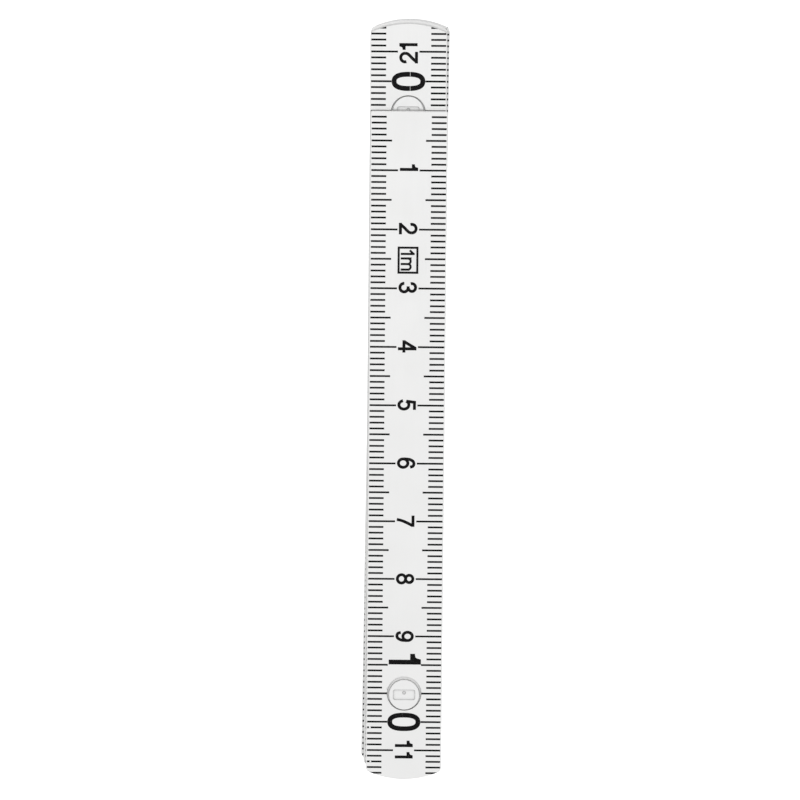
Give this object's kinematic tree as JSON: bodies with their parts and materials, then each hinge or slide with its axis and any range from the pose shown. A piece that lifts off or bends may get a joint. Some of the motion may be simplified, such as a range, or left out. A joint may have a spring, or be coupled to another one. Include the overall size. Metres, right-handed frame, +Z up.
{
  "type": "folding rule",
  "caption": "Slim folding rule of equal flat plastic limbs stacked face to face, joined end to end by pivot pins with hidden detent springs; each joint opens to lie straight.",
  "frame": {"origin": "under the middle of the folded stack, on the plane of the last limb's underside that the rule rests on", "axes": "+Z up out of the numbered face of the first limb, +Y along the limbs towards the square end where the scale starts, +X across the limbs to the right when the start of the scale points away"},
  "size_m": [0.0139, 0.1308, 0.0259],
  "materials": {
    "limb_plastic": "satin moulded glass-fibre reinforced plastic, white, printed in black",
    "pin_plastic": "satin moulded plastic, white, unprinted",
    "spring_steel": "blued-grey spring strip"
  },
  "bodies": {
    "segment_10": {"limb_10": "limb_plastic", "pivot_pin_09": "pin_plastic"},
    "segment_09": {"limb_09": "limb_plastic", "pivot_pin_08": "pin_plastic", "detent_spring_09": "spring_steel"},
    "segment_08": {"limb_08": "limb_plastic", "pivot_pin_07": "pin_plastic", "detent_spring_08": "spring_steel"},
    "segment_07": {"limb_07": "limb_plastic", "pivot_pin_06": "pin_plastic", "detent_spring_07": "spring_steel"},
    "segment_06": {"limb_06": "limb_plastic", "pivot_pin_05": "pin_plastic", "detent_spring_06": "spring_steel"},
    "segment_05": {"limb_05": "limb_plastic", "pivot_pin_04": "pin_plastic", "detent_spring_05": "spring_steel"},
    "segment_04": {"limb_04": "limb_plastic", "pivot_pin_03": "pin_plastic", "detent_spring_04": "spring_steel"},
    "segment_03": {"limb_03": "limb_plastic", "pivot_pin_02": "pin_plastic", "detent_spring_03": "spring_steel"},
    "segment_02": {"limb_02": "limb_plastic", "pivot_pin_01": "pin_plastic", "detent_spring_02": "spring_steel"},
    "segment_01": {"limb_01": "limb_plastic", "detent_spring_01": "spring_steel"}
  },
  "joints": [
    {"name": "fold_09", "type": "hinge", "parent": "segment_10", "child": "segment_09", "pos_m": [-0.00042, -0.05, 0.0026], "axis": [0, 0, 1], "range_deg": [-180, 180], "deforming": ["detent_spring_09"]},
    {"name": "fold_08", "type": "hinge", "parent": "segment_09", "child": "segment_08", "pos_m": [0.00012, 0.05, 0.0052], "axis": [0, 0, 1], "range_deg": [-180, 180], "deforming": ["detent_spring_08"]},
    {"name": "fold_07", "type": "hinge", "parent": "segment_08", "child": "segment_07", "pos_m": [-0.00042, -0.05, 0.0078], "axis": [0, 0, 1], "range_deg": [-180, 180], "deforming": ["detent_spring_07"]},
    {"name": "fold_06", "type": "hinge", "parent": "segment_07", "child": "segment_06", "pos_m": [0.00012, 0.05, 0.0104], "axis": [0, 0, 1], "range_deg": [-180, 180], "deforming": ["detent_spring_06"]},
    {"name": "fold_05", "type": "hinge", "parent": "segment_06", "child": "segment_05", "pos_m": [-0.00042, -0.05, 0.013], "axis": [0, 0, 1], "range_deg": [-180, 180], "deforming": ["detent_spring_05"]},
    {"name": "fold_04", "type": "hinge", "parent": "segment_05", "child": "segment_04", "pos_m": [0.00012, 0.05, 0.0156], "axis": [0, 0, 1], "range_deg": [-180.22, 179.78], "deforming": ["detent_spring_04"]},
    {"name": "fold_03", "type": "hinge", "parent": "segment_04", "child": "segment_03", "pos_m": [-0.00004, -0.05, 0.0182], "axis": [0, 0, 1], "range_deg": [-180.22, 179.78], "deforming": ["detent_spring_03"]},
    {"name": "fold_02", "type": "hinge", "parent": "segment_03", "child": "segment_02", "pos_m": [-0.00026, 0.05, 0.0208], "axis": [0, 0, 1], "range_deg": [-180.22, 179.78], "deforming": ["detent_spring_02"]},
    {"name": "fold_01", "type": "hinge", "parent": "segment_02", "child": "segment_01", "pos_m": [0.00035, -0.05, 0.0234], "axis": [0, 0, 1], "range_deg": [-179.9, 180.1], "deforming": ["detent_spring_01"]}
  ]
}
